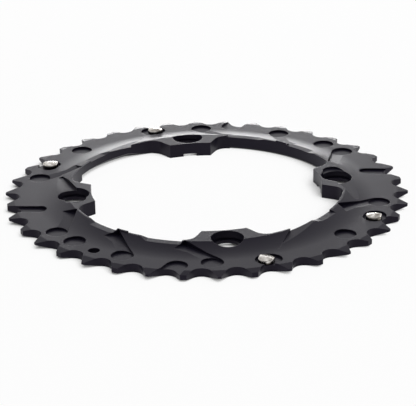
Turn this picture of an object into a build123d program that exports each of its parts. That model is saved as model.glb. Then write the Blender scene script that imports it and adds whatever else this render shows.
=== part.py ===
from build123d import *
from math import asin, atan2, cos, degrees, hypot, radians, sin, sqrt
import os

# Bicycle chainring: one machined ring with four steel shift pins pressed into it.
# Millimetres and degrees. The axis is +Z, the flat outboard face lies on z = 0,
# and one bolt hole sits on the +X axis. Shift features repeat after half a turn.

# Teeth
tooth_count = 38
chain_pitch = 12.7
seat_r = 3.95           # roller seat in each tooth gap
tip_rise = 1.9          # long tooth's tip above the pitch circle
short_drop = 1.0        # short teeth end this far below the long ones
tip_width = 1.2         # at the tip of a long tooth
tooth_turn = -0.4       # tooth beside the bolt hole on +X, from that axis
band_h = 3.3            # thickness of the band under the teeth
top_bevel = 0.8         # depth of the ramp side's bevel, measured at a long tip
top_bevel_start = 1.9   # it begins this far outside the tooth root
long_bevel = 1.7        # outboard bevel of long teeth, measured in the same place
short_bevel = 1.0       # outboard bevel of short teeth
bevel_start = 0.5       # outboard bevels begin this far outside the tooth root

# Dished web, rim and bore
bore_r = 53.65
rim_h = 5.6
rim_land = 0.85         # flat width of the rim before the web falls away
web_end_r = 66.6        # the dished web runs out level with the band here
web_steps = 2           # straight lengths that follow the dish
edge_bevel = 0.9        # outboard edge of the bore, on two quarters
edge_bevel_from = 19.0
edge_bevel_to = 71.0
relief_h = 2.25         # deeper bevel on the other two quarters
relief_depth = 3.2
relief_start_h = 0.05   # its height where it begins
relief_from = 105.0
relief_full = 118.0
relief_to = 150.0
rim_step_h = 0.5        # short raised length of the rim
rim_step_from = 44.0
rim_step_to = 49.1

# Bolt tabs
bolt_circle_d = 104.0
bolt_count = 4
bolt_hole_d = 10.0
counterbore_d = 12.3
counterbore_floor = 2.3
arm_seat_d = 14.8       # shallow round seat for a crank arm, under each tab
arm_seat_depth = 1.1
tab_wall = 0.65         # wall between counterbore and tab edge
tab_width = 16.8
tab_root_width = 26.4
tab_root_fillet = 5.0

# Shift pockets, cut with one end mill, and the ramps that lead to them
cutter_d = 8.4
pocket_r = 68.0
pocket_floor = 2.5
pocket_turn = -1.6      # pockets stand this far from their tooth's middle
pocket_teeth = (3, 4, 6, 9, 14, 17)
ramp_teeth = (3, 6, 9, 17)
ramp_tilt = 46.0
ramp_length = 17.2
ramp_floor_in = 3.9     # floor along the ramp's wall, at the rim
ramp_floor_out = 2.75   # and at the pocket
ramp_rise = 0.6         # the floor climbs this much across the ramp, away from the wall

# Slots that run out between two teeth
exit_turn = -2.6
exit_tilt = -18.7
exit_floor = 2.5
long_exit_tooth = 1
long_exit_r = 66.4
long_exit_d = 6.0
short_exit_tooth = 8
short_exit_r = 71.1

# Flats along the rim, as angle ranges
rim_flat_h = 5.0
rim_flat_lead = 3.0     # each flat starts with a slope this long
rim_flats = ((30.8, 43.7), (58.0, 72.2), (131.5, 141.6))

# Sloping facet on the rim
facet_r = 63.1
facet_angle = 106.0
facet_h = 3.55
facet_wall_heading = 241.7
facet_heading = 224.1
facet_slope = 0.08

# Groove across the tabs that carry a tooth
groove_end_x = 51.7
groove_end_y = 4.9
groove_heading = 105.0
groove_length = 26.4
groove_floor_in = 4.6
groove_floor_out = 3.9
groove_rise = 0.3       # its floor climbs this much away from the bore

# Shift pins, in tooth gaps, and the catch pin hole
pin_gaps = (10.5, 15.5)
pin_turn = 0.5          # pins stand this far from the middle of their gap
pin_r = 69.5
pin_seat_floor = 2.5
pin_seat_run = 1.8      # the seat is cut this far past the pin
pin_head_width = 5.8    # across its flats
pin_head_sides = 8
pin_head_h = 1.95
pin_roof_h = 1.1        # fall of the two-sided roof from ridge to rim
pin_roof_turn = 32.0    # ridge, from the ring's radius
pin_shank_d = 3.6
pin_shank_sides = 12    # flats that stand for the round shank and its hole
pin_recess = 0.2        # shank ends this far inside the outboard face
catch_hole_d = 4.4
catch_hole_r = 69.5
catch_tooth = -14

# Derived sizes
tooth_angle = 360 / tooth_count
pitch_r = chain_pitch / 2 / sin(radians(tooth_angle / 2))
root_r = pitch_r - seat_r
tip_r = pitch_r + tip_rise
crest_r = bore_r + rim_land
bolt_r = bolt_circle_d / 2
tab_inner_r = bolt_r - counterbore_d / 2 - tab_wall
cutter_r = cutter_d / 2
pin_top = pin_seat_floor + pin_head_h
above = 3.0             # cutters reach this far over the part
below = 1.0
cut_top = rim_h + rim_step_h + above
on_floor = (Align.CENTER, Align.CENTER, Align.MIN)


def polar(radius, angle, z=0.0):
    return Vector(radius * cos(radians(angle)), radius * sin(radians(angle)), z)


def tooth_at(number, turn=0.0):
    return tooth_turn + number * tooth_angle + turn


def is_short(number):
    # Short and long teeth take turns over each half of the ring, which ends on a long one.
    half = tooth_count // 2
    place = number % half
    return place % 2 == 0 and place < half - 1


def both_sides(shape):
    return [shape, shape.rotate(Axis.Z, 180)]


def radius_and_half(point):
    return hypot(point.X, point.Y), degrees(atan2(point.Y, point.X))


def tooth_outline():
    # The flank runs from the long tip's corner, tangent to the roller seat. Short teeth end lower on it.
    corner = polar(tip_r, degrees(asin(tip_width / 2 / tip_r)))
    to_seat = polar(pitch_r, tooth_angle / 2) - corner
    turn = degrees(asin(seat_r / to_seat.length))
    reach = sqrt(to_seat.length ** 2 - seat_r ** 2)
    touch = corner + to_seat.rotate(Axis.Z, turn).normalized() * reach
    touch_r, touch_half = radius_and_half(touch)
    short_share = 1 - short_drop / (tip_r - touch_r)
    long_end = radius_and_half(corner)
    short_end = radius_and_half(touch + (corner - touch) * short_share)
    edges = []
    for number in range(tooth_count):
        middle = tooth_at(number)
        following = tooth_at(number + 1)
        end_r, end_half = short_end if is_short(number) else long_end
        next_r, next_half = short_end if is_short(number + 1) else long_end
        tip_end = polar(end_r, middle + end_half)
        seat_start = polar(touch_r, middle + touch_half)
        seat_low = polar(root_r, middle + tooth_angle / 2)
        seat_end = polar(touch_r, following - touch_half)
        edges.append(Line(polar(end_r, middle - end_half), tip_end))
        edges.append(Line(tip_end, seat_start))
        edges.append(ThreePointArc(seat_start, seat_low, seat_end))
        edges.append(Line(seat_end, polar(next_r, following - next_half)))
    return make_face(edges)


def bore_outline():
    tab_half = degrees(asin(tab_width / 2 / tab_inner_r))
    root_half = degrees(asin(tab_root_width / 2 / bore_r))
    step = 360 / bolt_count
    edges = []
    for number in range(bolt_count):
        middle = number * step
        following = middle + step
        edge_start = polar(tab_inner_r, middle - tab_half)
        edge_end = polar(tab_inner_r, middle + tab_half)
        arc_start = polar(bore_r, middle + root_half)
        arc_end = polar(bore_r, following - root_half)
        edges.append(ThreePointArc(edge_start, polar(tab_inner_r, middle), edge_end))
        edges.append(Line(edge_end, arc_start))
        edges.append(ThreePointArc(arc_start, polar(bore_r, middle + step / 2), arc_end))
        edges.append(Line(arc_end, polar(tab_inner_r, following - tab_half)))
    opening = make_face(edges)
    between = (tab_inner_r + bore_r) / 2
    roots = [v for v in opening.vertices() if hypot(v.X, v.Y) > between]
    return fillet(roots, tab_root_fillet)


def turned_blank():
    # Section of the ring: flat outboard face, level band, dished web, rim land.
    inner_r = tab_inner_r - below
    outer_r = tip_r + below
    rise = rim_h - band_h
    run = web_end_r - crest_r
    dish_r = (run ** 2 + rise ** 2) / (2 * rise)
    points = [(inner_r, 0, 0), (outer_r, 0, 0), (outer_r, 0, band_h)]
    for step in range(web_steps + 1):
        back = run * step / web_steps
        points.append((web_end_r - back, 0, band_h + dish_r - sqrt(dish_r ** 2 - back ** 2)))
    points.append((inner_r, 0, rim_h))
    return revolve(make_face(Polyline(*points, close=True)), Axis.Z, 360)


def tooth_flat(face_z, start, depth):
    start_r = root_r + start
    end_r = tip_r + below
    end_z = face_z + depth * (end_r - start_r) / (tip_r - start_r)
    section = make_face(Polyline(
        (start_r, -chain_pitch / 2, face_z),
        (end_r, -chain_pitch / 2, face_z),
        (end_r, -chain_pitch / 2, end_z),
        close=True,
    ))
    return extrude(section, chain_pitch, dir=(0, 1, 0))


def tooth_bevels():
    # Each tooth is thinned towards its tip by one flat on either face.
    top = tooth_flat(band_h, top_bevel_start, -top_bevel)
    long_flat = tooth_flat(0, bevel_start, long_bevel)
    short_flat = tooth_flat(0, bevel_start, short_bevel)
    cuts = []
    for number in range(tooth_count):
        outboard = short_flat if is_short(number) else long_flat
        cuts.append(top.rotate(Axis.Z, tooth_at(number)))
        cuts.append(outboard.rotate(Axis.Z, tooth_at(number)))
    return cuts


def rim_step():
    section = make_face(Polyline(
        (tab_inner_r, 0, band_h),
        (crest_r, 0, band_h),
        (crest_r, 0, rim_h + rim_step_h),
        (tab_inner_r, 0, rim_h + rim_step_h),
        close=True,
    ))
    return revolve(section, Axis.Z, rim_step_to - rim_step_from).rotate(Axis.Z, rim_step_from)


def upright(radius, angle, diameter, floor, top):
    return Pos(*polar(radius, angle, floor)) * Cylinder(diameter / 2, top - floor, align=on_floor)


def ramp_cut(end, heading, length, width, floor_end, floor_far, rise, round_end=False):
    # Straight slot that runs back from its end. Its floor slopes along the left wall, and rises from it.
    plan = Pos(-length / 2, 0) * Rectangle(length, width)
    if round_end:
        plan += Circle(width / 2)
    wall_end = Vector(0, width / 2, floor_end)
    along = Vector(-length, 0, floor_far - floor_end)
    across = Vector(0, -width, rise)
    floor = Plane(wall_end, x_dir=along, z_dir=along.cross(across))
    reach = 2 * (length + width)
    slot = extrude(plan, cut_top) & (floor * Box(reach, reach, cut_top, align=on_floor))
    return Pos(end.X, end.Y, 0) * Rot(0, 0, heading) * slot


def pocket_cuts():
    cuts = []
    for number in pocket_teeth:
        cuts.append(upright(pocket_r, tooth_at(number, pocket_turn), cutter_d, pocket_floor, cut_top))
    for number in ramp_teeth:
        angle = tooth_at(number, pocket_turn)
        cuts.append(ramp_cut(
            polar(pocket_r, angle), angle + ramp_tilt, ramp_length, cutter_d,
            ramp_floor_out, ramp_floor_in, ramp_rise,
        ))
    return cuts


def exit_cuts():
    cuts = []
    slots = (
        (long_exit_tooth, long_exit_r, long_exit_d),
        (short_exit_tooth, short_exit_r, cutter_d),
    )
    for number, radius, width in slots:
        angle = tooth_at(number, exit_turn)
        run = tip_r + above - radius
        plan = Pos(run / 2, 0) * Rectangle(run, width) + Circle(width / 2)
        slot = extrude(plan, rim_h)
        cuts.append(Pos(*polar(radius, angle, exit_floor)) * Rot(0, 0, angle + exit_tilt) * slot)
    return cuts


def rim_flat_cuts():
    # Each flat is milled along the chord under its angle range.
    cuts = []
    for start, end in rim_flats:
        half = bore_r * sin(radians((end - start) / 2))
        section = make_face(Polyline(
            (tab_inner_r, half, rim_flat_h),
            (tab_inner_r, -half, rim_flat_h),
            (tab_inner_r, -half - rim_flat_lead, rim_h),
            (tab_inner_r, -half - rim_flat_lead, cut_top),
            (tab_inner_r, half, cut_top),
            close=True,
        ))
        cut = extrude(section, web_end_r - tab_inner_r, dir=(1, 0, 0))
        cuts.append(cut.rotate(Axis.Z, (start + end) / 2))
    return cuts


def facet_cut():
    # Block whose under face is the facet; its straight side makes the step at the facet's start.
    length = 2 * (web_end_r - bore_r) + above
    width = web_end_r - bore_r
    plan = make_face(Polyline(
        (0, 0),
        (length, 0),
        (length, -width),
        (0, -width),
        close=True,
    ))
    plan = plan.rotate(Axis.Z, facet_wall_heading - facet_heading)
    block = extrude(plan, rim_h)
    tilt = degrees(atan2(facet_slope, 1))
    place = Pos(*polar(facet_r, facet_angle, facet_h)) * Rot(0, 0, facet_heading) * Rot(0, -tilt, 0)
    return place * block


def groove_cut():
    return ramp_cut(
        Vector(groove_end_x, groove_end_y), groove_heading, groove_length, cutter_d,
        groove_floor_in, groove_floor_out, groove_rise, round_end=True,
    )


def relief_section(height, depth):
    return make_face(Polyline(
        (bore_r - below, 0, -below),
        (bore_r + depth, 0, -below),
        (bore_r + depth, 0, 0),
        (bore_r, 0, height),
        (bore_r - below, 0, height),
        close=True,
    ))


def relief_cuts():
    # Bevels under the rim. The deep one grows from nothing to full height, then runs on evenly.
    full = relief_section(relief_h, relief_depth).rotate(Axis.Z, relief_full)
    start = relief_section(relief_start_h, relief_start_h).rotate(Axis.Z, relief_from)
    small = relief_section(edge_bevel, edge_bevel).rotate(Axis.Z, edge_bevel_from)
    sweeps = [
        loft([start, full], ruled=True),
        revolve(full, Axis.Z, relief_to - relief_full),
        revolve(small, Axis.Z, edge_bevel_to - edge_bevel_from),
    ]
    cuts = []
    for sweep in sweeps:
        cuts += both_sides(sweep)
    return cuts


def bolt_cuts():
    cuts = []
    for number in range(bolt_count):
        angle = number * 360 / bolt_count
        cuts.append(upright(bolt_r, angle, bolt_hole_d, -below, cut_top))
        cuts.append(upright(bolt_r, angle, counterbore_d, counterbore_floor, cut_top))
        cuts.append(upright(bolt_r, angle, arm_seat_d, -below, arm_seat_depth))
    return cuts


def pin_angles():
    angles = []
    for half_turn in (0, 180):
        for gap in pin_gaps:
            angles.append(tooth_at(gap, pin_turn) + half_turn)
    return angles


def shank_bar(length):
    return extrude(RegularPolygon(pin_shank_d / 2, pin_shank_sides), length)


def pin_cuts():
    cuts = []
    for angle in pin_angles():
        seat = Pos(0, pin_seat_run / 2) * Rectangle(cutter_d, pin_seat_run) + Circle(cutter_r)
        seat += Pos(0, pin_seat_run) * Circle(cutter_r)
        place = Pos(*polar(pin_r, angle, pin_seat_floor)) * Rot(0, 0, angle)
        cuts.append(place * extrude(seat, rim_h))
        hole = Pos(0, 0, -below) * shank_bar(pin_seat_floor + 2 * below)
        cuts.append(Pos(*polar(pin_r, angle)) * Rot(0, 0, angle) * hole)
    cuts.append(upright(catch_hole_r, tooth_at(catch_tooth, pocket_turn), catch_hole_d, -below, cut_top))
    return cuts


def chainring():
    blank = turned_blank() + both_sides(rim_step())
    ring = blank & extrude(tooth_outline() - bore_outline(), cut_top)
    shift_cuts = pocket_cuts() + exit_cuts() + rim_flat_cuts() + [facet_cut(), groove_cut()]
    cuts = tooth_bevels() + bolt_cuts() + pin_cuts() + relief_cuts()
    for cut in shift_cuts:
        cuts += both_sides(cut)
    return ring - cuts


def shift_pin(angle):
    # Shank pressed through the ring, and a flat-sided head under a roof of two slopes.
    half = pin_head_width / 2
    shank = Pos(0, 0, pin_recess) * shank_bar(pin_seat_floor - pin_recess)
    sides = RegularPolygon(half, pin_head_sides, major_radius=False)
    head = Pos(0, 0, pin_seat_floor) * extrude(sides, pin_head_h)
    roof = make_face(Polyline(
        (-pin_head_width, -half, pin_seat_floor),
        (-pin_head_width, half, pin_seat_floor),
        (-pin_head_width, half, pin_top - pin_roof_h),
        (-pin_head_width, 0, pin_top),
        (-pin_head_width, -half, pin_top - pin_roof_h),
        close=True,
    ))
    head &= extrude(roof, 2 * pin_head_width, dir=(1, 0, 0))
    return Pos(*polar(pin_r, angle)) * Rot(0, 0, angle) * (shank + Rot(0, 0, pin_roof_turn) * head)


os.makedirs("parts", exist_ok=True)
export_step(chainring(), "parts/chainring.step")
for number, angle in enumerate(pin_angles(), start=1):
    export_step(shift_pin(angle), f"parts/shift_pin_{number}.step")
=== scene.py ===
import math
import bmesh
import bpy
from mathutils import Matrix, Vector


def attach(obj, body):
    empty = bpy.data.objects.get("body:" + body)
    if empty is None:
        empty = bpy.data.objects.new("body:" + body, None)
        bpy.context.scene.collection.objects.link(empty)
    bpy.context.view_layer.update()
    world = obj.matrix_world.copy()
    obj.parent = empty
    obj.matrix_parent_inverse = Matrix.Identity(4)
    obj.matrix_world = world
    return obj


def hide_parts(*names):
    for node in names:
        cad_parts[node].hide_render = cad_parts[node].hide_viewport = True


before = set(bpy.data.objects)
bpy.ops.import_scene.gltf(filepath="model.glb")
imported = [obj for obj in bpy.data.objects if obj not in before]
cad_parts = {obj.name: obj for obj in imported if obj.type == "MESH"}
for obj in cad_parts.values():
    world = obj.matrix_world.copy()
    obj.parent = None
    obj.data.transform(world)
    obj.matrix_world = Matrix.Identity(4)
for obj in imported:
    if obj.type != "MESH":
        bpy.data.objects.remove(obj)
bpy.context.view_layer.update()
mm = 0.001  # the frame is in metres
print("stage: frame loaded, nodes", sorted(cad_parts))


# Colours are written as sRGB and used as linear light
def toLinear(hexValue):
    parts = [int(hexValue[i:i + 2], 16) / 255 for i in (1, 3, 5)]
    linear = [c / 12.92 if c <= 0.04045 else ((c + 0.055) / 1.055) ** 2.4 for c in parts]
    return (*linear, 1.0)


def addNode(tree, kind, settings=None, values=None, links=None):
    node = tree.nodes.new(kind)
    for name, value in (settings or {}).items():
        setattr(node, name, value)
    for socket, value in (values or {}).items():
        node.inputs[socket].default_value = value
    for socket, source in (links or {}).items():
        tree.links.new(source, node.inputs[socket])
    return node


def newMaterial(name):
    material = bpy.data.materials.new(name)
    material.use_nodes = True
    material.node_tree.nodes.clear()
    return material, material.node_tree


def mergedCopy(node, gap):
    shape = bmesh.new()
    shape.from_mesh(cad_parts[node].data)
    bmesh.ops.remove_doubles(shape, verts=shape.verts, dist=gap * mm)
    return shape


def toMesh(shape, name):
    mesh = bpy.data.meshes.new(name)
    shape.to_mesh(mesh)
    shape.free()
    mesh.materials.clear()
    return mesh


def addPiece(name, mesh):
    piece = bpy.data.objects.new(name, mesh)
    bpy.context.scene.collection.objects.link(piece)
    return piece


# Aluminium, blasted and anodised black: a dark satin skin, paler at a low angle, with a painted highlight
# along convex edges and painted shade (less gloss) in inner corners
ringFinish = {
    "colour": "#14121e",
    "cloudColour": "#191724",
    # painted highlight: the colour of convex edges
    "highlightColour": "#47434d",
    "cloudSize": 14.0,  # mm, slow drift of the dye
    "cloudDetail": 3.0,
    "grainSize": 0.45,  # mm, real blast grain is finer; drawn this coarse so that it shows
    "grainDetail": 2.0,
    "grainDepth": 0.010,  # mm
    "roughness": (0.34, 0.42),
    "gloss": 0.19,
    "glossColour": "#f6ebff",
    "edgeRound": 0.28,  # mm, broken edges
    "edgeSamples": 6,
    "highlightTurn": (0.99, 0.80),  # cosine of the edge's turn where the painted edge highlight starts, and where it is full
    "cornerReach": 1.6,  # mm, painted shade: inner corners are darker within this
    "cornerSamples": 8,
    "cornerOpen": (0.40, 0.80),  # open share of the view for the painted corner shade: darkest below, clear above
    "cornerGloss": 0.2,  # painted shade: share of the gloss left in the darkest corner
}


def anodisedAluminium():
    f = ringFinish
    material, tree = newMaterial("blackAnodisedAluminium")
    place = addNode(tree, "ShaderNodeTexCoord")
    cloud = addNode(tree, "ShaderNodeTexNoise",
                    values={"Scale": 1 / (f["cloudSize"] * mm), "Detail": f["cloudDetail"]},
                    links={"Vector": place.outputs["Object"]})
    grain = addNode(tree, "ShaderNodeTexNoise",
                    values={"Scale": 1 / (f["grainSize"] * mm), "Detail": f["grainDetail"]},
                    links={"Vector": place.outputs["Object"]})
    soft = addNode(tree, "ShaderNodeBevel", {"samples": f["edgeSamples"]}, {"Radius": f["edgeRound"] * mm})
    flat = addNode(tree, "ShaderNodeNewGeometry")
    level = addNode(tree, "ShaderNodeVectorMath", {"operation": "DOT_PRODUCT"},
                    links={0: soft.outputs["Normal"], 1: flat.outputs["Normal"]})
    start, full = f["highlightTurn"]
    edge = addNode(tree, "ShaderNodeMapRange", values={"From Min": start, "From Max": full},
                   links={"Value": level.outputs["Value"]})
    # painted shade: ambient occlusion dims the gloss and the edge highlight in inner corners
    clear = addNode(tree, "ShaderNodeAmbientOcclusion", {"samples": f["cornerSamples"]},
                    {"Distance": f["cornerReach"] * mm})
    low, high = f["cornerOpen"]
    cornerShade = addNode(tree, "ShaderNodeMapRange", values={"From Min": low, "From Max": high},
                   links={"Value": clear.outputs["AO"]})
    edgeHighlight = addNode(tree, "ShaderNodeMath", {"operation": "MULTIPLY"},
                   links={0: edge.outputs["Result"], 1: cornerShade.outputs["Result"]})
    cornerShadedGloss = addNode(tree, "ShaderNodeMapRange",
                    values={"To Min": f["gloss"] * f["cornerGloss"], "To Max": f["gloss"]},
                    links={"Value": cornerShade.outputs["Result"]})
    dye = addNode(tree, "ShaderNodeMix", {"data_type": "RGBA"},
                  {"A": toLinear(f["colour"]), "B": toLinear(f["cloudColour"])},
                  {"Factor": cloud.outputs["Fac"]})
    # painted highlight: convex edges turn paler, kept out of inner corners
    wearAndHighlight = addNode(tree, "ShaderNodeMix", {"data_type": "RGBA"}, {"B": toLinear(f["highlightColour"])},
                   {"Factor": edgeHighlight.outputs[0], "A": dye.outputs["Result"]})
    smooth, dull = f["roughness"]
    rough = addNode(tree, "ShaderNodeMapRange", values={"To Min": smooth, "To Max": dull},
                    links={"Value": grain.outputs["Fac"]})
    bump = addNode(tree, "ShaderNodeBump", values={"Distance": f["grainDepth"] * mm, "Strength": 1.0},
                   links={"Height": grain.outputs["Fac"], "Normal": soft.outputs["Normal"]})
    skin = addNode(tree, "ShaderNodeBsdfPrincipled", values={"Specular Tint": toLinear(f["glossColour"])},
                   links={"Base Color": wearAndHighlight.outputs["Result"], "Roughness": rough.outputs["Result"],
                          "Specular IOR Level": cornerShadedGloss.outputs["Result"], "Normal": bump.outputs["Normal"]})
    addNode(tree, "ShaderNodeOutputMaterial", links={"Surface": skin.outputs["BSDF"]})
    return material


# Bright turned steel: a pale warm metal with a patchy shine, with painted shade down its sides
pinFinish = {
    "colour": "#ece8e3",
    "dullColour": "#8a847d",
    "flankShadeColour": "#47423d",
    "flankShadeFade": (2.9, 3.6),  # mm, painted shade: the sides are dark below this band of heights
    "markSize": 2.4,  # mm, real tool marks are finer; drawn this coarse so that they show
    "markDetail": 2.0,
    "markEdges": (0.35, 0.65),  # of the noise: bright below, dull above
    "roughness": (0.20, 0.34),
}


def turnedSteel():
    f = pinFinish
    material, tree = newMaterial("brightTurnedSteel")
    place = addNode(tree, "ShaderNodeTexCoord")
    marks = addNode(tree, "ShaderNodeTexNoise",
                    values={"Scale": 1 / (f["markSize"] * mm), "Detail": f["markDetail"]},
                    links={"Vector": place.outputs["Object"]})
    bright, dull = f["markEdges"]
    patch = addNode(tree, "ShaderNodeMapRange", values={"From Min": bright, "From Max": dull},
                    links={"Value": marks.outputs["Fac"]})
    colour = addNode(tree, "ShaderNodeMix", {"data_type": "RGBA"},
                     {"A": toLinear(f["colour"]), "B": toLinear(f["dullColour"])},
                     {"Factor": patch.outputs["Result"]})
    # painted shade: the pin's sides darken below the cap
    height = addNode(tree, "ShaderNodeSeparateXYZ", links={"Vector": place.outputs["Object"]})
    low, high = f["flankShadeFade"]
    cap = addNode(tree, "ShaderNodeMapRange", values={"From Min": low * mm, "From Max": high * mm},
                  links={"Value": height.outputs["Z"]})
    shadedSides = addNode(tree, "ShaderNodeMix", {"data_type": "RGBA"}, {"A": toLinear(f["flankShadeColour"])},
                    {"Factor": cap.outputs["Result"], "B": colour.outputs["Result"]})
    smooth, wearAndHighlight = f["roughness"]
    rough = addNode(tree, "ShaderNodeMapRange", values={"To Min": smooth, "To Max": wearAndHighlight},
                    links={"Value": marks.outputs["Fac"]})
    metal = addNode(tree, "ShaderNodeBsdfPrincipled", values={"Metallic": 1.0},
                    links={"Base Color": shadedSides.outputs["Result"], "Roughness": rough.outputs["Result"]})
    addNode(tree, "ShaderNodeOutputMaterial", links={"Surface": metal.outputs["BSDF"]})
    return material


# The ring: the machined solid, with round walls smoothed, the dish shaded as one true arc, and the
# floors of the two grooves shaded to run out into it
ringShape = {
    "mergeGap": 0.001,  # mm
    "smoothAngle": 24.0,  # degrees, between neighbouring upright walls
    "wallLean": 0.05,  # upright walls lean less than this
    "crestRadius": 54.5,  # mm, where the dish starts, under the rim's land
    "webEnd": 66.6,  # mm, where it runs out in the band
    "bandHeight": 3.3,  # mm
    "rimHeight": 5.6,  # mm
    "dishSteps": 2,  # straight lengths that the solid has in place of the arc
    "dishGap": 0.02,  # mm, a point this near to the dish lies on it
    "dishFacing": 0.5,  # least upward part of the normal of a face on the dish
    "grooveEnd": (51.7, 4.9),  # mm, middle of the round end of the groove across a tab
    "grooveHeading": 105.0,  # degrees
    "grooveLength": 26.4,  # mm
    "grooveWidth": 8.4,  # mm
    "grooveFloor": (4.6, 3.9, 0.3),  # mm, along its inner wall at either end, and the climb away from it
    "grooveFacing": 0.9,  # least upward part of the normal of a face on its floor
}


def dishHeights():
    s = ringShape
    rise = s["rimHeight"] - s["bandHeight"]
    run = s["webEnd"] - s["crestRadius"]
    arc = (run ** 2 + rise ** 2) / (2 * rise)
    backs = [run * step / s["dishSteps"] for step in range(s["dishSteps"] + 1)]
    return arc, [(b, s["bandHeight"] + arc - math.sqrt(arc ** 2 - b ** 2)) for b in backs]


def onDish(point, corners):
    gap = ringShape["dishGap"]
    back = ringShape["webEnd"] - math.hypot(point.x, point.y) / mm
    for (near, low), (far, high) in zip(corners, corners[1:]):
        if near - gap <= back <= far + gap:
            height = low + (high - low) * (back - near) / (far - near)
            return abs(point.z / mm - height) < gap
    return False


def dishNormal(point, arc):
    radius = math.hypot(point.x, point.y)
    back = max(ringShape["webEnd"] - radius / mm, 0.0)
    lean = back / arc
    return Vector((point.x / radius * lean, point.y / radius * lean, math.sqrt(1 - lean ** 2)))


# How far a point lies across a groove's floor, from 0 at its inner wall to 1, or None off the floor
def grooveBlend(point):
    s = ringShape
    gap = s["dishGap"]
    width = s["grooveWidth"]
    turn = math.radians(s["grooveHeading"])
    near, far, climb = s["grooveFloor"]
    for half in (1, -1):  # the two grooves lie half a turn apart
        x = half * point.x / mm - s["grooveEnd"][0]
        y = half * point.y / mm - s["grooveEnd"][1]
        back = -(x * math.cos(turn) + y * math.sin(turn))
        out = width / 2 + x * math.sin(turn) - y * math.cos(turn)
        height = near + (far - near) * back / s["grooveLength"] + climb * out / width
        if abs(point.z / mm - height) < gap and -gap < out < width + gap:
            return min(max(out / width, 0.0), 1.0)
    return None


def machinedRing():
    s = ringShape
    shape = mergedCopy("chainring", s["mergeGap"])
    limit = math.radians(s["smoothAngle"])
    for face in shape.faces:
        face.smooth = True
    for edge in shape.edges:
        walls = all(abs(f.normal.z) < s["wallLean"] for f in edge.link_faces)
        edge.smooth = walls and edge.calc_face_angle(math.pi) < limit
    mesh = toMesh(shape, "machinedRing")
    arc, corners = dishHeights()
    normals = [n.vector.copy() for n in mesh.corner_normals]
    for face in mesh.polygons:
        points = [mesh.vertices[v].co for v in face.vertices]
        if face.normal.z > s["dishFacing"] and all(onDish(p, corners) for p in points):
            for corner, point in zip(face.loop_indices, points):
                normals[corner] = dishNormal(point, arc)
        elif face.normal.z > s["grooveFacing"] and all(grooveBlend(p) is not None for p in points):
            for corner, point in zip(face.loop_indices, points):
                blend = face.normal.lerp(dishNormal(point, arc), grooveBlend(point))
                normals[corner] = blend.normalized()
    mesh.normals_split_custom_set(normals)
    return mesh


ring = addPiece("machinedRing", machinedRing())
ring.data.materials.append(anodisedAluminium())
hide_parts("chainring")
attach(ring, "root")
print("stage: ring", len(ring.data.polygons), "faces")

# Shift pins: one pin with broken edges, set in four tooth gaps, two pairs half a turn apart
pinShape = {
    "count": 4,
    "pairSize": 2,
    "radius": 69.5,  # mm, from the ring's axis
    "toothCount": 38,
    "toothTurn": -0.4,  # degrees, the tooth beside the bolt hole on +X
    "firstGap": 10.5,  # tooth steps from that tooth to the first pin's gap
    "gapTurn": 0.5,  # degrees, pins stand this far past the middle of their gap
    "pairGaps": 5,  # tooth steps between the pins of a pair
    "mergeGap": 0.001,  # mm
    "flatTurn": 0.01,  # radians, faces that turn less are one flat
    "edgeTurn": 0.2,  # radians, edges that turn more are rounded
    "edgeRound": 0.3,  # mm
    "roundSteps": 2,
    "roundProfile": 0.5,  # a plain round
    "sharpAngle": 50.0,  # degrees
    "headFloor": 2.5,  # mm, the head sits on its seat here
    "headTop": 4.45,  # mm
    "roofShare": 0.5,  # of the fall of the solid's roof; flatter, so that its far slope shows
}


def pinTurns():
    s = pinShape
    step = 360 / s["toothCount"]
    first = s["toothTurn"] + s["firstGap"] * step + s["gapTurn"]
    return math.radians(first), math.radians(s["pairGaps"] * step)


def singlePin():
    s = pinShape
    shape = mergedCopy("shift_pin_1", s["mergeGap"])
    turn = pinTurns()[0]
    centre = Vector((math.cos(turn), math.sin(turn), 0)) * s["radius"] * mm
    shape.transform(Matrix.Rotation(-turn, 4, "Z") @ Matrix.Translation(-centre))
    bmesh.ops.dissolve_limit(shape, angle_limit=s["flatTurn"], verts=shape.verts, edges=shape.edges)
    seat = (s["headFloor"] + s["edgeRound"] / 2) * mm
    top = s["headTop"] * mm
    for vertex in shape.verts:
        if vertex.co.z > seat:
            vertex.co.z = top - (top - vertex.co.z) * s["roofShare"]
    sharp = [e for e in shape.edges
             if e.calc_face_angle(0) > s["edgeTurn"] and max(v.co.z for v in e.verts) > seat]
    bmesh.ops.bevel(shape, geom=sharp, offset=s["edgeRound"] * mm, segments=s["roundSteps"],
                    profile=s["roundProfile"], affect="EDGES", clamp_overlap=True)
    mesh = toMesh(shape, "singlePin")
    mesh.shade_smooth()
    mesh.set_sharp_from_angle(angle=math.radians(s["sharpAngle"]))
    return mesh


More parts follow.
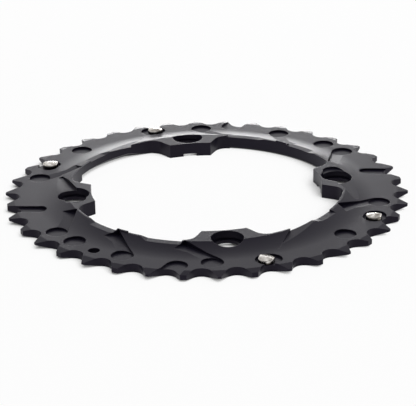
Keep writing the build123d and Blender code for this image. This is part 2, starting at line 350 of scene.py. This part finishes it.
def pinTree():
    tree = bpy.data.node_groups.new("pinsInGaps", "GeometryNodeTree")
    kinds = {"Pin": "Object", "Count": "Int", "Pair Size": "Float", "Radius": "Float",
             "First Turn": "Float", "Pair Step": "Float", "Finish": "Material"}
    sockets = {name: tree.interface.new_socket(name, in_out="INPUT", socket_type="NodeSocket" + kind)
               for name, kind in kinds.items()}
    tree.interface.new_socket("Pins", in_out="OUTPUT", socket_type="NodeSocketGeometry")
    given = addNode(tree, "NodeGroupInput")
    index = addNode(tree, "GeometryNodeInputIndex")
    pair = addNode(tree, "ShaderNodeMath", {"operation": "MODULO"},
                   links={0: index.outputs["Index"], 1: given.outputs["Pair Size"]})
    half = addNode(tree, "ShaderNodeMath", {"operation": "DIVIDE"},
                   links={0: index.outputs["Index"], 1: given.outputs["Pair Size"]})
    halfTurn = addNode(tree, "ShaderNodeMath", {"operation": "FLOOR"}, links={0: half.outputs[0]})
    turn = addNode(tree, "ShaderNodeMath", {"operation": "MULTIPLY_ADD"},
                   links={0: pair.outputs[0], 1: given.outputs["Pair Step"],
                          2: given.outputs["First Turn"]})
    whole = addNode(tree, "ShaderNodeMath", {"operation": "MULTIPLY_ADD"}, {1: math.pi},
                    {0: halfTurn.outputs[0], 2: turn.outputs[0]})
    arm = addNode(tree, "ShaderNodeCombineXYZ", links={"X": given.outputs["Radius"]})
    place = addNode(tree, "ShaderNodeVectorRotate", {"rotation_type": "Z_AXIS"},
                    links={"Vector": arm.outputs["Vector"], "Angle": whole.outputs[0]})
    heading = addNode(tree, "ShaderNodeCombineXYZ", links={"Z": whole.outputs[0]})
    points = addNode(tree, "GeometryNodePoints",
                     links={"Count": given.outputs["Count"], "Position": place.outputs["Vector"]})
    pin = addNode(tree, "GeometryNodeObjectInfo", links={"Object": given.outputs["Pin"]})
    pins = addNode(tree, "GeometryNodeInstanceOnPoints",
                   links={"Points": points.outputs[0], "Instance": pin.outputs["Geometry"],
                          "Rotation": heading.outputs["Vector"]})
    real = addNode(tree, "GeometryNodeRealizeInstances", links={"Geometry": pins.outputs["Instances"]})
    done = addNode(tree, "GeometryNodeSetMaterial",
                   links={"Geometry": real.outputs["Geometry"], "Material": given.outputs["Finish"]})
    addNode(tree, "NodeGroupOutput", links={"Pins": done.outputs["Geometry"]})
    return tree, sockets


def shiftPins():
    s = pinShape
    firstTurn, pairStep = pinTurns()
    steel = turnedSteel()
    template = addPiece("singlePin", singlePin())
    template.data.materials.append(steel)
    pins = addPiece("shiftPins", bpy.data.meshes.new("shiftPins"))
    tree, sockets = pinTree()
    modifier = pins.modifiers.new("pinsInGaps", "NODES")
    modifier.node_group = tree
    given = {
        "Pin": template,
        "Count": s["count"],
        "Pair Size": float(s["pairSize"]),
        "Radius": s["radius"] * mm,
        "First Turn": firstTurn,
        "Pair Step": pairStep,
        "Finish": steel,
    }
    for name, value in given.items():
        modifier[sockets[name].identifier] = value
    graph = bpy.context.evaluated_depsgraph_get()
    mesh = bpy.data.meshes.new_from_object(pins.evaluated_get(graph))
    pins.modifiers.remove(modifier)
    pins.data = mesh
    bpy.data.objects.remove(template)
    return pins


pins = shiftPins()
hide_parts("shift_pin_1", "shift_pin_2", "shift_pin_3", "shift_pin_4")
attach(pins, "root")
print("stage: pins", len(pins.data.polygons), "faces")

# Pale matt floor, white to the eye; most of the shadow seen on it is painted shadow, a fade of the white
# close to the ring
floorLook = {
    "size": 6.0,  # metres
    "colour": "#fafafa",
    "glow": 0.94,  # share of plain white in what the eye sees
    "shadeReach": 20.0,  # mm, painted shadow: the white fades where the ring closes in this near
    "shadeLean": (0.6, -0.6),  # the painted shadow leans to the right and the front: what stands there shades the floor most
    "shadeSamples": 12,
    "shadeOpen": (0.16, 0.68),  # open share of the view up: dark below, plain white above
}


def studioFloor():
    f = floorLook
    material, tree = newMaterial("paleStudioFloor")
    path = addNode(tree, "ShaderNodeLightPath")
    seen = addNode(tree, "ShaderNodeMath", {"operation": "MAXIMUM"},
                   links={0: path.outputs["Is Camera Ray"], 1: path.outputs["Is Glossy Ray"]})
    seenAll = addNode(tree, "ShaderNodeMath", {"operation": "MAXIMUM"},
                      links={0: seen.outputs[0], 1: path.outputs["Is Transmission Ray"]})
    share = addNode(tree, "ShaderNodeMath", {"operation": "MULTIPLY"}, {1: f["glow"]},
                    {0: seenAll.outputs[0]})
    right, back = f["shadeLean"]
    lean = addNode(tree, "ShaderNodeCombineXYZ", values={"X": right, "Y": back, "Z": 1.0})
    # painted shadow: ambient occlusion fades the white that the eye sees
    clear = addNode(tree, "ShaderNodeAmbientOcclusion", {"samples": f["shadeSamples"]},
                    {"Distance": f["shadeReach"] * mm}, {"Normal": lean.outputs["Vector"]})
    low, high = f["shadeOpen"]
    fade = addNode(tree, "ShaderNodeMapRange", values={"From Min": low, "From Max": high},
                   links={"Value": clear.outputs["AO"]})
    matt = addNode(tree, "ShaderNodeBsdfDiffuse", values={"Color": toLinear(f["colour"])})
    white = addNode(tree, "ShaderNodeEmission", values={"Strength": 1.0},
                    links={"Color": fade.outputs["Result"]})
    both = addNode(tree, "ShaderNodeMixShader",
                   links={"Fac": share.outputs[0], 1: matt.outputs[0], 2: white.outputs[0]})
    addNode(tree, "ShaderNodeOutputMaterial", links={"Surface": both.outputs[0]})
    half = f["size"] / 2
    corners = [(-half, -half, 0), (half, -half, 0), (half, half, 0), (-half, half, 0)]
    mesh = bpy.data.meshes.new("studioFloor")
    mesh.from_pydata(corners, [], [(0, 1, 2, 3)])
    mesh.materials.append(material)
    addPiece("studioFloor", mesh)


studioFloor()

# Soft light from a low strip and a card behind and a box on the right, all aimed at the ring's middle
# (places and sizes in metres)
lights = {
    "low": {"place": (0.08, 0.55, 0.03), "width": 0.25, "height": 0.05, "watts": 0.57},
    "back": {"place": (0.05, 0.55, 0.20), "width": 0.4, "height": 0.14, "watts": 0.19},
    "side": {"place": (0.75, 0.25, 0.60), "width": 0.5, "height": 0.4, "watts": 1.5},
}


def addLights():
    for name, light in lights.items():
        lamp = bpy.data.lights.new(name + "Light", "AREA")
        lamp.shape = "RECTANGLE"
        lamp.size = light["width"]
        lamp.size_y = light["height"]
        lamp.energy = light["watts"]
        holder = bpy.data.objects.new(name + "Light", lamp)
        holder.location = light["place"]
        holder.rotation_mode = "QUATERNION"
        holder.rotation_quaternion = (-Vector(light["place"])).to_track_quat("-Z", "Y")
        holder.visible_camera = False
        bpy.context.scene.collection.objects.link(holder)


addLights()

# A plain pale room, dimmer on the camera's side
room = {
    "colour": "#ffffff",
    "strength": 0.80,
    "frontShare": 0.25,  # of that strength, at the front
    "fade": (-0.7, 0.3),  # from front to back, as the Y of the direction
}


def addRoom():
    world = bpy.data.worlds.new("paleRoom")
    world.use_nodes = True
    tree = world.node_tree
    tree.nodes.clear()
    place = addNode(tree, "ShaderNodeTexCoord")
    side = addNode(tree, "ShaderNodeSeparateXYZ", links={"Vector": place.outputs["Generated"]})
    front, behind = room["fade"]
    level = addNode(tree, "ShaderNodeMapRange",
                    values={"From Min": front, "From Max": behind, "To Max": room["strength"],
                            "To Min": room["strength"] * room["frontShare"]},
                    links={"Value": side.outputs["Y"]})
    back = addNode(tree, "ShaderNodeBackground", values={"Color": toLinear(room["colour"])},
                   links={"Strength": level.outputs["Result"]})
    addNode(tree, "ShaderNodeOutputWorld", links={"Surface": back.outputs["Background"]})
    bpy.context.scene.world = world


addRoom()

# Long lens, a little above the ring, turned so that one bolt hole lies almost at the front
lens = {
    "aim": (0.36, -1.60, -1.67),  # mm, what lies at the middle of the picture
    "distance": 735.4,  # mm
    "turn": -8.25,  # degrees round the axis
    "rise": 22.92,  # degrees
    "roll": 0.92,  # degrees
    "focal": 162.35,  # mm
    "sensor": 36.0,  # mm
}


def addCamera():
    turn, rise, roll = (math.radians(lens[k]) for k in ("turn", "rise", "roll"))
    back = Vector((math.sin(turn) * math.cos(rise), -math.cos(turn) * math.cos(rise), math.sin(rise)))
    camera = bpy.data.objects.new("camera", bpy.data.cameras.new("camera"))
    camera.data.sensor_width = lens["sensor"]
    camera.data.lens = lens["focal"]
    upright = back.to_track_quat("Z", "Y")
    camera.rotation_mode = "QUATERNION"
    camera.rotation_quaternion = upright @ Matrix.Rotation(-roll, 3, "Z").to_quaternion()
    camera.location = (Vector(lens["aim"]) + back * lens["distance"]) * mm
    bpy.context.scene.collection.objects.link(camera)
    bpy.context.scene.camera = camera


addCamera()
bpy.context.scene.view_settings.view_transform = "Standard"
print("stage: floor, lights and camera")
